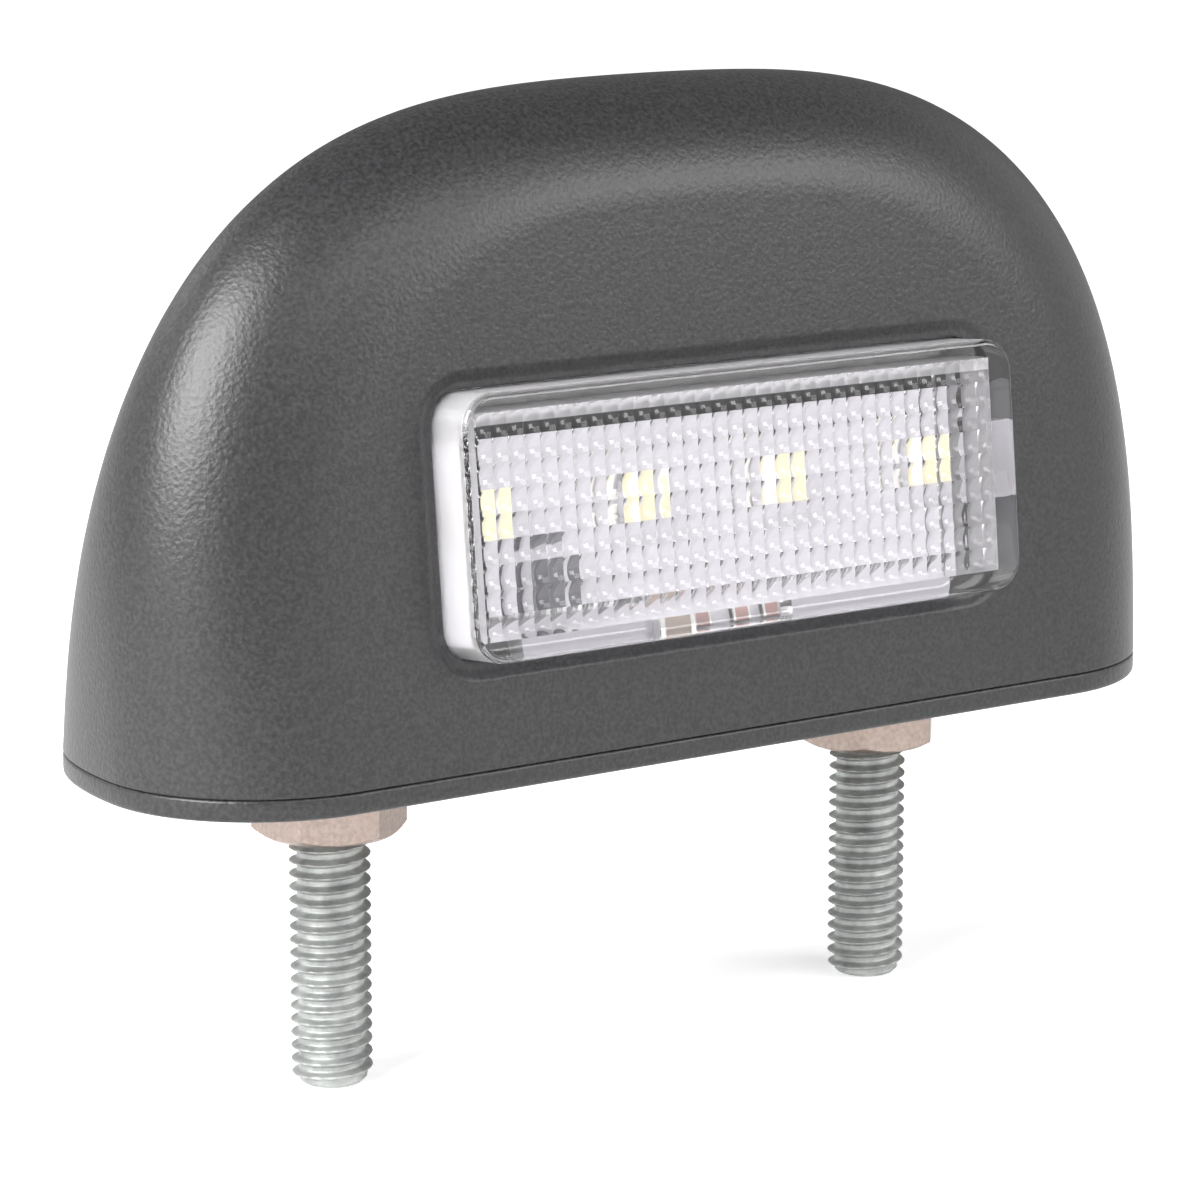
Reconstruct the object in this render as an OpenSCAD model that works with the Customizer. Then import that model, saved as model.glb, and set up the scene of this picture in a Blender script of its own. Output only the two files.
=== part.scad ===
// Number plate lamp: an arched moulded housing with a clear prismatic lens in its
// face, four light-emitting diodes behind it, and two fixing studs under the base.
// The studs stand on the X axis, the lens faces -Y and the seat lies at Z = 0.

/* [Housing] */
// Width over the two ends
housing_w = 90.4; // [86:0.2:104]
// Height from the seat to the crown
housing_h = 48.4; // [46:0.2:58]
// Distance from the stud line forward to the face, at the base joint
front_reach = 16.2; // [15:0.2:19]
// Distance from the stud line back to the rear, at the base joint
rear_reach = 9; // [8.4:0.2:13]
// Distance from the stud line forward to the ridge of the crown
ridge_reach = 3.8; // [2.8:0.2:4.8]
// Backward lean of the face in degrees
face_lean = 5.9; // [4:0.1:8]
// Depth of the crown from its ridge back to the leaning rear
crown_depth = 1.6; // [1.2:0.1:4]
// Thickness of the moulded wall
wall = 2.2; // [1.8:0.1:2.6]
// Width of the rounding between the face and each end
side_round = 12.7; // [11:0.1:14]
// Height of the rounding between the face and the crown
crown_round = 8.5; // [7:0.1:9.6]
// Width of the rounding between each end and the rear
rear_side_round = 4.9; // [4:0.1:6]
// Height of the rounding between the crown and the rear
rear_crown_round = 13.2; // [11:0.1:15]
// Squareness of the arch at its ends
end_power = 2.32; // [2.1:0.01:2.8]
// Squareness of the arch at its crown
crown_power = 3.94; // [3.2:0.01:4.4]
// Fullness of the haunches as a share of the arch
haunch = 0.016; // [0:0.002:0.03]

/* [Lens] */
// Width of the clear window
lens_w = 48.9; // [40:0.1:50]
// Height of the clear window
lens_h = 18.8; // [15:0.1:19.6]
// Height of the window's middle above the base joint, along the face
lens_z = 17.3; // [16.6:0.1:18.4]
// Radius of the window's corners
lens_corner = 2.4; // [1.8:0.1:3]
// Height that the window stands out of the face
lens_proud = 3.7; // [2.8:0.1:4.4]
// Thickness of the window's front
lens_front = 2; // [1.6:0.1:2.4]
// Thickness of the window's side walls
lens_wall = 1.5; // [1.2:0.1:1.8]
// Overhang of the flange that holds the lens behind the wall
flange_lip = 1.2; // [0.8:0.1:1.4]
// Thickness of that flange
flange_t = 1.1; // [0.8:0.1:1.4]
// Width of the shallow recess round the window
recess_gap = 1.3; // [0.8:0.1:1.6]
// Depth of the recess
recess_depth = 0.4; // [0.3:0.1:1.2]

/* [Circuit board] */
// Overhang of the board's fixing ears past each side of the window
board_overhang = 6.6; // [6.4:0.1:7]
// Height of the fixing ears
ear_h = 5.6; // [5.2:0.1:7]
// Distance from the window's middle up to the board's top edge
board_top = 5.6; // [4.6:0.1:8]
// Distance from the window's middle down to the edge of the board's lower tab
board_low = 9.8; // [9.6:0.1:10]
// Height of the tab at the board's lower edge
tab_h = 1.8; // [1:0.1:1.9]
// Gap between the tab and the window's left side
tab_left = 6.5; // [3:0.1:8]
// Gap between the tab and the window's right side
tab_right = 4.3; // [2:0.1:8]
// Gap between the window's right side and the board's body
right_gap = 1.8; // [0:0.1:2.4]
// Thickness of the board
board_t = 1.6; // [1:0.1:2]
// Radius of the board's corners
board_corner = 0.8; // [0.4:0.1:1.5]
// Distance from one light-emitting diode to the next, as a share of the window's width
led_share = 0.266; // [0.22:0.002:0.28]
// Width of each light-emitting diode
led_w = 3.5; // [2.8:0.1:4]
// Height of each light-emitting diode
led_h = 2.8; // [2:0.1:3.4]
// Thickness of each light-emitting diode
led_t = 1.9; // [0.8:0.1:2]
// Distance from each end of the board to its screw
screw_inset = 2.3; // [2.2:0.1:2.6]
// Diameter of the board screws
screw_d = 2.2; // [2:0.1:2.4]

/* [Base] */
// Height of the joint between base plate and housing
joint_z = 1.6; // [1.2:0.1:2]
// Height of the plug that fills the housing's mouth
plug_h = 2.8; // [2.6:0.1:4]
// Width of the land that bears on the vehicle
land_w = 2.6; // [2:0.1:3]
// Depth of the relief inside the land
relief = 0.8; // [0.5:0.1:1.0]
// Diameter of the boss above each nut
boss_d = 13; // [12.6:0.1:14]
// Height of the bosses above the land, which so bears first
boss_drop = 0.1; // [0.1:0.1:0.3]
// Distance from the stud line forward to the cable inlet
inlet_reach = 3.5; // [2:0.1:4]
// Bore of the cable inlet
inlet_d = 5.2; // [4:0.1:6.4]
// Outer diameter of the cable grommet in the plate
grommet_d = 9.8; // [9:0.1:11]

/* [Studs] */
// Distance between the two studs
stud_span = 50; // [44:0.5:56]
// Nominal thread diameter
thread_d = 6; // [5:0.5:6]
// Diameter of the rolled shank under the thread
shank_d = 5.34; // [4.4:0.02:5.4]
// Length of each stud under its head
stud_len = 26.4; // [20:0.2:40]
// Height of the head's seat in the base plate
head_seat = 2; // [1.6:0.1:2.4]
// Width of the head across its flats
head_af = 10; // [8:0.5:10]
// Height of the head
head_h = 4; // [3:0.1:4.4]
// Width of the nut across its flats
nut_af = 10; // [8:0.5:10]
// Height of the nut
nut_h = 5.7; // [4:0.1:6]
// Turn of the left nut in degrees
left_nut_turn = -24; // [-30:1:30]
// Turn of the right nut in degrees
right_nut_turn = -11; // [-30:1:30]

/* [Hidden] */
$fn = 64;

// Clearances
lens_fit = 0.15;
seat_fit = 0.05;
plug_fit = 0.35;
pocket_fit = 0.15;
hole_fit = 0.25;
grommet_fit = 0.1;

// Steps along the arch, through the front rounding and through the rear rounding
arch_steps = 48;
front_steps = 8;
rear_steps = 6;

face_slope = tan(face_lean);
rear_slope = (rear_reach + ridge_reach - crown_depth) / (housing_h - joint_z);
// The hollow's ridge stands further forward, so that the crown's rear wall stays thick
hollow_shift = 1.2;
plate_top = joint_z + plug_h;
flange_y = wall * cos(face_lean) + seat_fit;
board_y = flange_y + flange_t + seat_fit;
board_back = board_y + board_t;
board_w = lens_w + 2 * board_overhang;
screw_span = board_w - 2 * screw_inset;
led_pitch = led_share * lens_w;
// The chips stand in a row along the lower tab, each beside the one before
chip_gap = 0.3;
capacitor_size = [3.2, 1.6, 1.2];
resistor_size = [1.6, 0.9, 0.5];
capacitor_x = -0.39 * led_pitch;
resistor_1_x = capacitor_x + capacitor_size[0] / 2 + resistor_size[0] / 2 + chip_gap;
resistor_2_x = resistor_1_x + resistor_size[0] + 1.9;
resistor_3_x = resistor_2_x + resistor_size[0] + 1.1;
chip_z = -board_low + 1.1;
pocket_r = (head_af / 2 + pocket_fit) / cos(30);
boss_r = 2.5;
pilot_r = screw_d / 2 + 0.1;
screw_head_r = 2.2;
screw_head_h = 1.5;
led_z = lens_z + 0.3;

// Arch outline in unit size, from the right end (0) over the crown to the left (180)
function fullness(t) = 1 + haunch * sin(4 * min(t, 180 - t));
function arch_x(t) = sign(cos(t)) * pow(abs(cos(t)), 2 / crown_power) * fullness(t);
function arch_z(t) = pow(abs(sin(t)), 2 / end_power) * fullness(t);

// Depths of the body before and behind its ridge at a height above the base joint
function front_depth(z, reach, ridge) = reach - ridge - face_slope * z;
function rear_depth(z, reach, ridge) = reach + ridge - rear_slope * z;

// One ring of the front rounding, at an angle of 0 on the ridge and 90 on the face
function front_ring(a, half_w, top, foot, reach, ridge, side, crown) =
    [for (i = [0 : arch_steps])
        let (t = 180 * i / arch_steps,
             h = top - crown * (1 - cos(a)),
             x = (half_w - side * (1 - cos(a))) * arch_x(t),
             z = foot + (h - foot) * arch_z(t))
        [x, -ridge - front_depth(z - joint_z, reach, ridge) * sin(a), z]];

// One ring of the rear rounding, at an angle of 0 on the ridge and 90 on the rear
function rear_ring(a, half_w, top, foot, reach, ridge, side, crown) =
    [for (i = [0 : arch_steps])
        let (t = 180 * i / arch_steps,
             h = top - crown * (1 - cos(a)),
             x = (half_w - side * (1 - cos(a))) * arch_x(t),
             z = foot + (h - foot) * arch_z(t))
        [x, -ridge + rear_depth(z - joint_z, reach, ridge) * sin(a), z]];

// Closed solid through a row of rings that stand on one level
module loft(rings) {
    n = len(rings[0]);
    m = len(rings);
    points = [for (ring = rings) for (p = ring) p];
    front = [[for (i = [n - 1 : -1 : 0]) i]];
    rear = [[for (i = [0 : n - 1]) (m - 1) * n + i]];
    foot = [concat([for (j = [0 : m - 1]) j * n],
                   [for (j = [m - 1 : -1 : 0]) j * n + n - 1])];
    // Each patch is two triangles, mirrored about the middle of the arch
    skin = [for (j = [0 : m - 2]) for (i = [0 : n - 2]) for (half = [0, 1])
               let (a = j * n + i, b = a + 1, c = b + n, d = a + n)
               i < (n - 1) / 2 ? (half == 0 ? [a, b, c] : [a, c, d])
                               : (half == 0 ? [a, b, d] : [b, c, d])];
    polyhedron(points, concat(front, rear, foot, skin), convexity = 6);
}

// Arched body, smaller all round by an inset, standing on a foot level
module arched_body(inset, foot, shift) {
    half_w = housing_w / 2 - inset;
    top = housing_h - inset;
    ridge = ridge_reach + shift;
    loft(concat(
        [for (k = [front_steps : -1 : 0])
            front_ring(90 * k / front_steps, half_w, top, foot, front_reach - inset, ridge,
                       side_round - inset, crown_round - inset)],
        [for (k = [1 : rear_steps])
            rear_ring(90 * k / rear_steps, half_w, top, foot, rear_reach - inset, ridge,
                      rear_side_round - inset, rear_crown_round - inset)]));
}

// Outline of the body at the base joint, drawn in by different amounts
module plan(inset, front_inset, rear_inset) {
    half_w = housing_w / 2 - inset;
    side = side_round - inset;
    back = max(rear_side_round - inset, 1);
    front = front_reach - front_inset - ridge_reach;
    rear = rear_reach - rear_inset + ridge_reach;
    right = [for (k = [0 : front_steps])
                let (a = 90 * k / front_steps)
                [half_w - side * (1 - cos(a)), -ridge_reach - front * sin(a)]];
    right_rear = [for (k = [rear_steps : -1 : 1])
                     let (a = 90 * k / rear_steps)
                     [half_w - back * (1 - cos(a)), -ridge_reach + rear * sin(a)]];
    left = [for (k = [front_steps : -1 : 0])
               [-right[k][0], right[k][1]]];
    left_rear = [for (k = [rear_steps - 1 : -1 : 0])
                    [-right_rear[k][0], right_rear[k][1]]];
    polygon(concat(right, left, left_rear, right_rear));
}

// Frame of the face: Z runs up the face from the base joint and Y runs inwards
module on_face() {
    translate([0, -front_reach, joint_z]) rotate([-face_lean, 0, 0]) children();
}

module rounded_rectangle(w, h, r) {
    square([w - 2 * r, h], center = true);
    square([w, h - 2 * r], center = true);
    for (x = [-1, 1], y = [-1, 1])
        translate([x * (w / 2 - r), y * (h / 2 - r)]) circle(r);
}

// Rounded slab in the frame of the face, between two depths
module slab(w, h, r, z, near, far) {
    translate([0, far, z]) rotate([90, 0, 0])
        linear_extrude(far - near) rounded_rectangle(w, h, r);
}

// Round bar in the frame of the face, between two depths
module bar(x, z, r, near, far) {
    translate([x, far, z]) rotate([90, 0, 0]) cylinder(h = far - near, r = r);
}

// Small block on the front of the board, at a place measured from the lens middle
module front_chip(x, z, w, h, t) {
    on_face() translate([x - w / 2, board_y - t, lens_z + z - h / 2]) cube([w, t, h]);
}

// Small block on the back of the board
module back_chip(x, z, w, h, t) {
    on_face() translate([x - w / 2, board_back, lens_z + z - h / 2]) cube([w, t, h]);
}

module housing() {
    color("#3b3b3d")
    difference() {
        union() {
            difference() {
                arched_body(0, joint_z, 0);
                arched_body(wall, joint_z - 1, hollow_shift);
            }
            on_face() for (x = [-1, 1])
                bar(x * screw_span / 2, lens_z, boss_r, wall - 0.8, board_y);
        }
        on_face() {
            slab(lens_w + 2 * recess_gap, lens_h + 2 * recess_gap,
                 lens_corner + recess_gap, lens_z, -3, recess_depth);
            slab(lens_w + 2 * lens_fit, lens_h + 2 * lens_fit,
                 lens_corner + lens_fit, lens_z, 0, wall + 2);
            for (x = [-1, 1])
                bar(x * screw_span / 2, lens_z, pilot_r, 1, board_y + 1);
        }
    }
}

module lens() {
    color("#eef2f6", 0.45)
    on_face() difference() {
        union() {
            slab(lens_w, lens_h, lens_corner, lens_z, -lens_proud, flange_y + flange_t);
            slab(lens_w + 2 * flange_lip, lens_h + 2 * flange_lip,
                 lens_corner + flange_lip, lens_z, flange_y, flange_y + flange_t);
        }
        slab(lens_w - 2 * lens_wall, lens_h - 2 * lens_wall, lens_corner - lens_wall / 2,
             lens_z, lens_front - lens_proud, flange_y + flange_t + 1);
        chip_pocket();
    }
}

// Room for the row of chips in the back of the lens's lower wall
module chip_pocket() {
    left = capacitor_x - capacitor_size[0] / 2 - chip_gap;
    right = resistor_3_x + resistor_size[0] / 2 + chip_gap;
    low = chip_z - capacitor_size[1] / 2 - chip_gap;
    depth = capacitor_size[2] + chip_gap;
    translate([left, board_y - depth, lens_z + low])
        cube([right - left, depth + 1, lens_wall - lens_h / 2 - low + 0.5]);
}

// Outline of the board about the window's middle, with a fixing ear at each end and a
// tab along the lower edge
module board_plan() {
    full_w = lens_w + 2 * lens_fit;
    main_low = board_low - tab_h;
    translate([-right_gap / 2, (board_top - main_low) / 2])
        rounded_rectangle(full_w - right_gap, board_top + main_low, board_corner);
    rounded_rectangle(board_w, ear_h, board_corner);
    translate([tab_left - full_w / 2, -board_low])
        square([full_w - tab_left - tab_right, tab_h + 1]);
}

module circuit_board() {
    color("#f1f2ee")
    on_face() difference() {
        translate([0, board_back, lens_z]) rotate([90, 0, 0])
            linear_extrude(board_t) board_plan();
        for (x = [-1, 1])
            bar(x * screw_span / 2, lens_z, screw_d / 2 + hole_fit,
                board_y - 1, board_back + 1);
    }
}

module led(i) {
    x = (i - 2.5) * led_pitch;
    color("#f2df8e")
    difference() {
        front_chip(x, led_z - lens_z, led_w, led_h, led_t);
        on_face() bar(x, led_z, led_h * 0.42, board_y - led_t - 1, board_y - led_t + 0.2);
    }
}

module rectifier_diode() {
    color("#202020") front_chip(-1.1 * led_pitch, -4.6, 2.6, 4.2, 2.1);
}

module capacitor() {
    color("#8a5a3c")
    front_chip(capacitor_x, chip_z, capacitor_size[0], capacitor_size[1], capacitor_size[2]);
}

module resistor(x) {
    color("#6e2b22")
    front_chip(x, chip_z, resistor_size[0], resistor_size[1], resistor_size[2]);
}

module regulator() {
    color("#202020") back_chip(0, 2, 4.6, 2.6, 1.5);
}

// Pan-head screw through the board at one side, -1 for left and 1 for right
module board_screw(side) {
    x = side * screw_span / 2;
    color("#c9ccd0")
    on_face() {
        bar(x, lens_z, screw_d / 2, wall * 0.6, board_back + 0.2);
        difference() {
            bar(x, lens_z, screw_head_r, board_back, board_back + screw_head_h);
            for (turn = [0, 90])
                translate([x, board_back + screw_head_h, lens_z]) rotate([0, turn, 0])
                    cube([2.4, 1.4, 0.6], center = true);
        }
    }
}

module base_plate() {
    color("#3b3b3d")
    difference() {
        union() {
            linear_extrude(joint_z) plan(0, 0, 0);
            linear_extrude(plate_top)
                plan(wall + plug_fit, wall + plug_fit + face_slope * plug_h,
                     wall + plug_fit + rear_slope * plug_h);
        }
        difference() {
            translate([0, 0, -1]) linear_extrude(1 + relief) plan(land_w, land_w, land_w);
            for (x = [-1, 1])
                translate([x * stud_span / 2, 0, boss_drop]) cylinder(h = 2, d = boss_d);
        }
        for (x = [-1, 1]) translate([x * stud_span / 2, 0, 0]) {
            translate([0, 0, -1]) cylinder(h = plate_top + 2, d = thread_d + 2 * hole_fit);
            translate([0, 0, head_seat]) cylinder(h = plate_top, r = pocket_r, $fn = 6);
        }
        translate([0, -inlet_reach, -1])
            cylinder(h = plate_top + 2, d = grommet_d + 2 * grommet_fit);
    }
}

module cable_grommet() {
    color("#262626")
    translate([0, -inlet_reach, 0]) rotate_extrude() polygon([
        [inlet_d / 2, 0.1], [grommet_d / 2 + 1.6, 0.1], [grommet_d / 2 + 1.6, relief],
        [grommet_d / 2, relief], [grommet_d / 2, plate_top],
        [grommet_d / 2 + 1.6, plate_top], [grommet_d / 2 + 1.2, plate_top + 1.2],
        [inlet_d / 2 + 1.4, plate_top + 2.4], [inlet_d / 2, plate_top + 2.4]]);
}

// Fixing bolt with its head held in the base plate and its thread below the nut
module stud(side) {
    tip = head_seat - stud_len;
    chamfer = 0.8;
    color("#b9bcc0")
    translate([side * stud_span / 2, 0, 0]) {
        intersection() {
            translate([0, 0, head_seat])
                cylinder(h = head_h, r = head_af / 2 / cos(30), $fn = 6);
            rotate_extrude() polygon([
                [0, head_seat], [head_af, head_seat],
                [head_af, head_seat + head_h - 2.1], [head_af * 0.46, head_seat + head_h],
                [0, head_seat + head_h]]);
        }
        rotate_extrude() polygon([
            [0, head_seat + 0.5], [shank_d / 2, head_seat + 0.5], [shank_d / 2, -nut_h],
            [thread_d / 2, -nut_h], [thread_d / 2, tip + chamfer],
            [thread_d / 2 - 0.7, tip], [0, tip]]);
    }
}

module nut(side) {
    corner = nut_af / 2 / cos(30);
    rim = nut_af * 0.475;
    slope = (corner - rim) * tan(30);
    color("#c4b3a2")
    translate([side * stud_span / 2, 0, boss_drop - nut_h])
    rotate([0, 0, side < 0 ? left_nut_turn : right_nut_turn])
    difference() {
        intersection() {
            cylinder(h = nut_h, r = corner, $fn = 6);
            rotate_extrude() polygon([
                [0, 0], [rim, 0], [corner, slope], [corner, nut_h - slope],
                [rim, nut_h], [0, nut_h]]);
        }
        translate([0, 0, -1]) cylinder(h = nut_h + 2, r = shank_d / 2 + 0.08);
    }
}

housing();
lens();
circuit_board();
for (i = [1 : 4])
    led(i);
rectifier_diode();
capacitor();
resistor(resistor_1_x);  // resistor_1
resistor(resistor_2_x);  // resistor_2
resistor(resistor_3_x);  // resistor_3
regulator();
board_screw(-1);  // board_screw_left
board_screw(1);  // board_screw_right
base_plate();
cable_grommet();
stud(-1);  // stud_left
stud(1);  // stud_right
nut(-1);  // nut_left
nut(1);  // nut_right
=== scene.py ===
import math

import bmesh
import bpy
import numpy as np
from mathutils import Matrix, Vector


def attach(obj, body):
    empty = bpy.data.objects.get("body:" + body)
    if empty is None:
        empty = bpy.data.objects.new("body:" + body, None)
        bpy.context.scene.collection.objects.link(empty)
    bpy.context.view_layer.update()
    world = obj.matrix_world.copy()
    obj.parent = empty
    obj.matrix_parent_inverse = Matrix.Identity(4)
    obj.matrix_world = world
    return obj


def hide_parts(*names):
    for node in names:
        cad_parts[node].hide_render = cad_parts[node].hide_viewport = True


# Number plate lamp. Sizes are in millimetres until a mesh is made; the lens faces -Y and
# the studs hang below the seat at Z = 0.

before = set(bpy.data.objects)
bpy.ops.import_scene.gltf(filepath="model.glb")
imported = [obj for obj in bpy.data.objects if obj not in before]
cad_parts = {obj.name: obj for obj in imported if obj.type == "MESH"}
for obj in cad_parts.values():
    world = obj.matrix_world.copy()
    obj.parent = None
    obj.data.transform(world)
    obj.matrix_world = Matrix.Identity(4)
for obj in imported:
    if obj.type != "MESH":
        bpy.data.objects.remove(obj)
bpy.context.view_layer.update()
mm = 0.001
meshCrease, partCrease = 35, 40  # degrees from which an edge is shaded sharp
weldDistance = 2e-7  # metres
print("frame loaded:", len(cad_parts), "nodes")


def linearColour(hexText):
    parts = [int(hexText[i:i + 2], 16) / 255 for i in (1, 3, 5)]
    return tuple(c / 12.92 if c <= 0.04045 else ((c + 0.055) / 1.055) ** 2.4 for c in parts) + (1,)


def addNode(tree, kind, settings=None, **links):
    node = tree.nodes.new(kind)
    for name, value in (settings or {}).items():
        setattr(node, name, value)
    for name, value in links.items():  # in0, in1 ... by place, other names by socket name
        socket = node.inputs[int(name[2:])] if name[:2] == "in" and name[2:].isdigit() \
            else node.inputs[name.replace("_", " ")]
        if isinstance(value, bpy.types.NodeSocket):
            tree.links.new(value, socket)
        else:
            socket.default_value = value
    return node


def maths(tree, operation, a, b=0.0, c=0.0):
    return addNode(tree, "ShaderNodeMath", {"operation": operation}, in0=a, in1=b, in2=c).outputs[0]


def smoothRange(tree, value, **ends):
    settings = {"interpolation_type": "SMOOTHSTEP"}
    return addNode(tree, "ShaderNodeMapRange", settings, Value=value, **ends).outputs["Result"]


def newMaterial(name, **values):
    # values go to the shader's inputs, with _ for a space in an input's name
    material = bpy.data.materials.new(name)
    material.use_nodes = True
    tree = material.node_tree
    shader = tree.nodes["Principled BSDF"]
    for socket, value in values.items():
        shader.inputs[socket.replace("_", " ")].default_value = value
    return material, tree, shader


def simpleMaterial(name, colour, roughness, metallic=0.0):
    return newMaterial(name, Base_Color=linearColour(colour), Roughness=roughness, Metallic=metallic)[0]


def addNoise(tree, look):
    place = addNode(tree, "ShaderNodeTexCoord").outputs["Object"]
    noise = addNode(tree, "ShaderNodeTexNoise", None, Vector=place, Scale=look["grainScale"],
                    Detail=look["grainDetail"], Roughness=look["grainRoughness"])
    return place, noise.outputs[0]


def addBump(tree, shader, height, look):
    bump = addNode(tree, "ShaderNodeBump", None, Height=height, Strength=look["bumpStrength"],
                   Distance=look["bumpDepth"] * mm)
    tree.links.new(bump.outputs["Normal"], shader.inputs["Normal"])


def addMottle(tree, shader, grain, look):
    # two colours, each with its place on the ramp of the grain
    tone = addNode(tree, "ShaderNodeValToRGB", None, Fac=grain)
    for element, (position, colour) in zip(tone.color_ramp.elements, look["mottle"]):
        element.position = position
        element.color = linearColour(colour)
    tree.links.new(tone.outputs["Color"], shader.inputs["Base Color"])


def newObject(name, mesh):
    obj = bpy.data.objects.new(name, mesh)
    bpy.context.collection.objects.link(obj)
    return obj


def smoothObject(name, mesh, smoothAngle, *materials):
    for material in materials:
        mesh.materials.append(material)
    mesh.polygons.foreach_set("use_smooth", [True] * len(mesh.polygons))
    tidyMesh(mesh, smoothAngle)
    return newObject(name, mesh)


def meshFrom(name, points, faces, material):
    mesh = bpy.data.meshes.new(name)
    mesh.from_pydata([tuple(c * mm for c in p) for p in points], [], faces)
    return smoothObject(name, mesh, meshCrease, material)


def bmeshObject(name, bm, smoothAngle, *materials):
    mesh = bpy.data.meshes.new(name)
    bm.to_mesh(mesh)
    bm.free()
    return smoothObject(name, mesh, smoothAngle, *materials)


def tidyMesh(mesh, smoothAngle):
    bm = bmesh.new()
    bm.from_mesh(mesh)
    bmesh.ops.remove_doubles(bm, verts=bm.verts, dist=weldDistance)
    bmesh.ops.recalc_face_normals(bm, faces=bm.faces)
    bm.to_mesh(mesh)
    bm.free()
    mesh.set_sharp_from_angle(angle=math.radians(smoothAngle))


def settle(obj, *modifiers):
    # turns the modifiers' result into a plain mesh
    for kind, settings in modifiers:
        modifier = obj.modifiers.new(kind.title(), kind)
        for name, value in settings.items():
            setattr(modifier, name, value)
    depsgraph = bpy.context.evaluated_depsgraph_get()
    result = bpy.data.meshes.new_from_object(obj.evaluated_get(depsgraph))
    obj.modifiers.clear()
    obj.data = result
    return obj


def carve(obj, cutter):
    settle(obj, ("BOOLEAN", {"operation": "DIFFERENCE", "solver": "EXACT", "object": cutter}))
    bpy.data.objects.remove(cutter)
    return obj


def finishPiece(obj, node):
    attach(obj, "root")
    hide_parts(node)
    return obj


def planarFill(bm, loops):
    # fills the flat region between closed loops of vertices
    edges = []
    for loop in loops:
        for a, b in zip(loop, loop[1:] + loop[:1]):
            edges.append(bm.edges.get((a, b)) or bm.edges.new((a, b)))
    bmesh.ops.triangle_fill(bm, edges=edges, use_beauty=True, use_dissolve=False)


boxQuads = ((0, 1, 3, 2), (4, 6, 7, 5), (0, 4, 5, 1), (2, 3, 7, 6), (0, 2, 6, 4), (1, 5, 7, 3))


def bridge(bm, near, far, closed=True):
    n = len(near)
    for i in range(n if closed else n - 1):
        j = (i + 1) % n
        bm.faces.new((near[i], near[j], far[j], far[i]))


def roundedLoop(w, h, r, cornerSteps=8):
    # points of a rounded rectangle, anticlockwise, always as many for the same steps
    points = []
    for k, (sx, sz) in enumerate(((1, 1), (-1, 1), (-1, -1), (1, -1))):
        for i in range(cornerSteps + 1):
            a = math.radians(90 * (k + i / cornerSteps))
            points.append((sx * (w / 2 - r) + r * math.cos(a), sz * (h / 2 - r) + r * math.sin(a)))
    return points


def circle(x, y, r, steps=72):
    angles = [2 * math.pi * i / steps for i in range(steps)]
    return [(x + r * math.cos(a), y + r * math.sin(a)) for a in angles]


def lathe(name, profile, material, centre):
    # a closed profile of (radius, z) turned about an upright axis
    points, faces = [], []
    for j, (r, z) in enumerate(profile):
        ring = circle(*centre, r)
        points += [(x, y, z) for x, y in ring]
        steps, k = len(ring), (j + 1) % len(profile)
        for i in range(steps):
            following = (i + 1) % steps
            faces.append((j * steps + i, j * steps + following, k * steps + following, k * steps + i))
    return meshFrom(name, points, faces, material)


def hexCorner(flats):
    return flats / 2 / math.cos(math.radians(30))


# the housing and the base plate share these values
shell = {
    "width": 90.4, "height": 48.4,
    "frontReach": 16.2, "rearReach": 9.0, "ridgeReach": 3.8,
    "faceLean": 5.9, "crownDepth": 1.6, "wall": 2.2,
    "sideRound": 12.7, "crownRound": 8.5, "rearSideRound": 4.9, "rearCrownRound": 13.2,
    "endPower": 2.32, "crownPower": 3.94, "haunch": 0.016,
    "jointHeight": 1.6, "hollowShift": 1.2,
    "archSteps": 180, "frontSteps": 22, "rearSteps": 18, "innerArchSteps": 60, "innerSteps": 8,
    "arcSamples": 40001, "valleySteps": 14, "jointRound": 0.22, "footRound": 0.4, "leastRound": 1,
    "creaseAngle": 32,
}
window = {
    "width": 48.9, "height": 18.8, "middle": 17.3, "corner": 2.4,
    "fit": 0.15, "recessDepth": 0.4, "valleyStart": 1.6, "valleyEnd": 0.5, "edgeRound": 0.15,
}
faceSlope = math.tan(math.radians(shell["faceLean"]))
rearSlope = (shell["rearReach"] + shell["ridgeReach"] - shell["crownDepth"]) \
    / (shell["height"] - shell["jointHeight"])
leanCos = math.cos(math.radians(shell["faceLean"]))
leanSin = math.sin(math.radians(shell["faceLean"]))


def onFace(x, y, z):
    # from the face's own frame, Y inwards and Z up the face, to the lamp's frame
    return (x, -shell["frontReach"] + y * leanCos + z * leanSin,
            shell["jointHeight"] - y * leanSin + z * leanCos)


def faceVerts(bm, flat, depth):
    # vertices for a loop of (x, z) about the window's middle, at a depth behind the face
    return [bm.verts.new(Vector(onFace(x, depth, window["middle"] + z)) * mm) for x, z in flat]


def archUnit(t):
    fullness = 1 + shell["haunch"] * np.sin(4 * np.minimum(t, np.pi - t))
    c, s = np.cos(t), np.abs(np.sin(t))
    return (np.sign(c) * np.abs(c) ** (2 / shell["crownPower"]) * fullness,
            s ** (2 / shell["endPower"]) * fullness)


def archAngles(steps):
    # angles that space the points evenly along the arch
    t = np.linspace(0, np.pi, shell["arcSamples"])
    x, z = archUnit(t)
    lengths = np.hypot(np.diff(x) * shell["width"] / 2, np.diff(z) * shell["height"])
    along = np.concatenate([[0], np.cumsum(lengths)])
    return np.interp(np.linspace(0, along[-1], steps + 1), along, t)


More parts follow.
